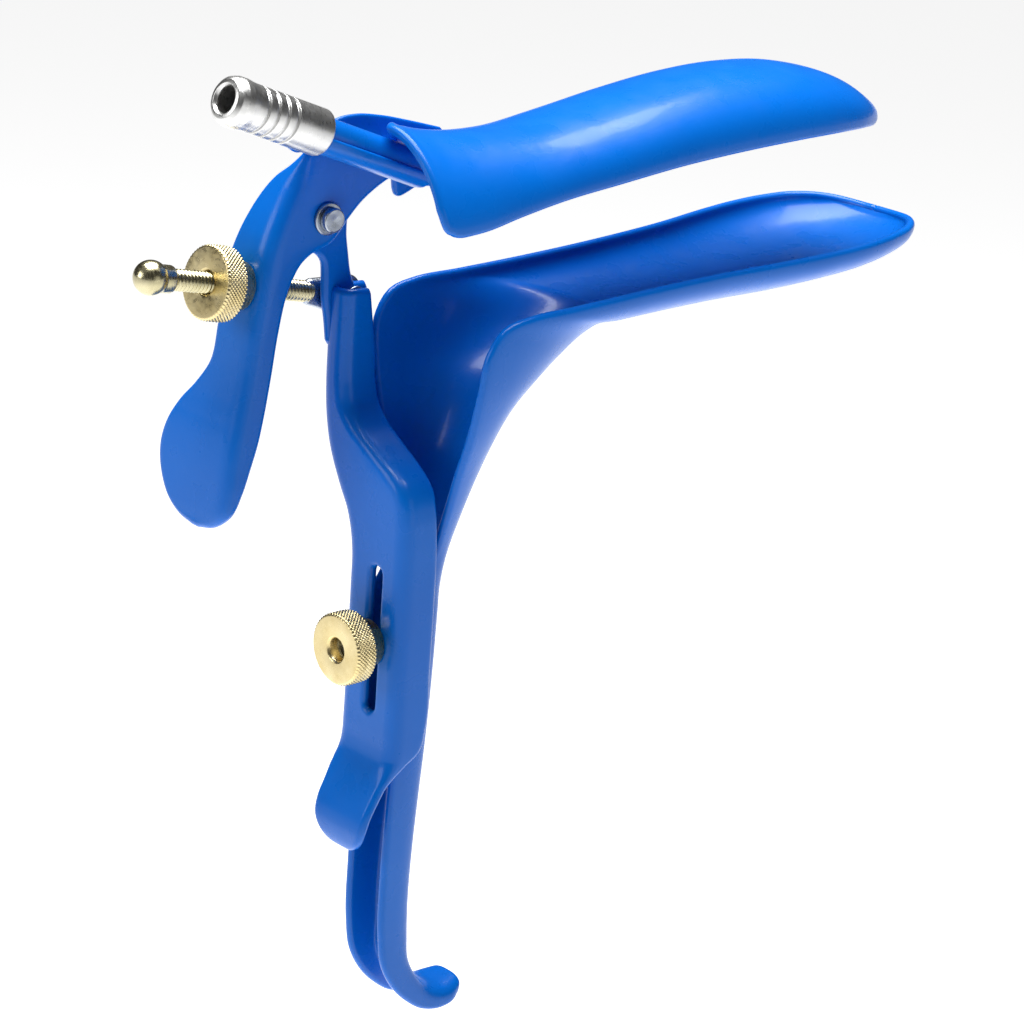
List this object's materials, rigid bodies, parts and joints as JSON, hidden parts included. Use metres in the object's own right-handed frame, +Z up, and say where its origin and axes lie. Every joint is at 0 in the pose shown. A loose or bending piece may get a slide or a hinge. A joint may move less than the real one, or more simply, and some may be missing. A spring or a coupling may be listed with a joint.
{
  "type": "bivalve speculum",
  "caption": "Open-sided blue-coated speculum with two trough blades, sliding yoke, thumb lever, knurled lock nuts and a smoke tube.",
  "frame": {"origin": "on the handle 45 mm below the lock stud, in the plane of the yoke's outer face and in the instrument's middle plane", "axes": "+X forward along the blades, +Y to the side that carries the yoke's arm, +Z up along the handle"},
  "size_m": [0.1755, 0.0566, 0.1888],
  "materials": {
    "blue_coat": "gloss",
    "brass": "satin",
    "steel": "satin"
  },
  "bodies": {
    "handle": {"lower_blade": "blue_coat", "lock_stud": "brass"},
    "slide": {"yoke": "blue_coat", "eye_rivet": "steel"},
    "jaw": {"upper_blade": "blue_coat", "thumb_lever": "blue_coat", "smoke_tube": "blue_coat", "hose_connector": "steel", "pivot_rivet": "steel", "pivot_washer": "steel"},
    "screw": {"tilt_screw": "brass", "stop_ball": "brass"},
    "tilt_nut": {"tilt_nut": "brass"},
    "lock_nut": {"lock_nut": "brass"}
  },
  "joints": [
    {"name": "yoke_slide", "type": "slide", "parent": "handle", "child": "slide", "axis": [0, 0, 1], "range_m": [-0.0125, 0.012]},
    {"name": "blade_tilt", "type": "hinge", "parent": "slide", "child": "jaw", "pos_m": [-0.0039, 0.0175, 0.1233], "axis": [0, -1, 0], "range_deg": [-3, 18]},
    {"name": "screw_swivel", "type": "hinge", "parent": "slide", "child": "screw", "pos_m": [0.0054, 0.01975, 0.1065], "axis": [0, -1, 0], "range_deg": [-2, 9]},
    {"name": "tilt_nut_travel", "type": "slide", "parent": "screw", "child": "tilt_nut", "axis": [-0.9816, 0, 0.1908], "range_m": [-0.0048, 0.0012]},
    {"name": "lock_nut_turn", "type": "hinge", "parent": "handle", "child": "lock_nut", "pos_m": [-0.004, 0, 0.045], "axis": [1, 0, 0], "continuous": true}
  ],
  "couplings": [
    {"joint": "screw_swivel", "follows": "blade_tilt", "ratio": 0.45},
    {"joint": "tilt_nut_travel", "follows": "blade_tilt", "m_per_rad": -0.0133}
  ]
}
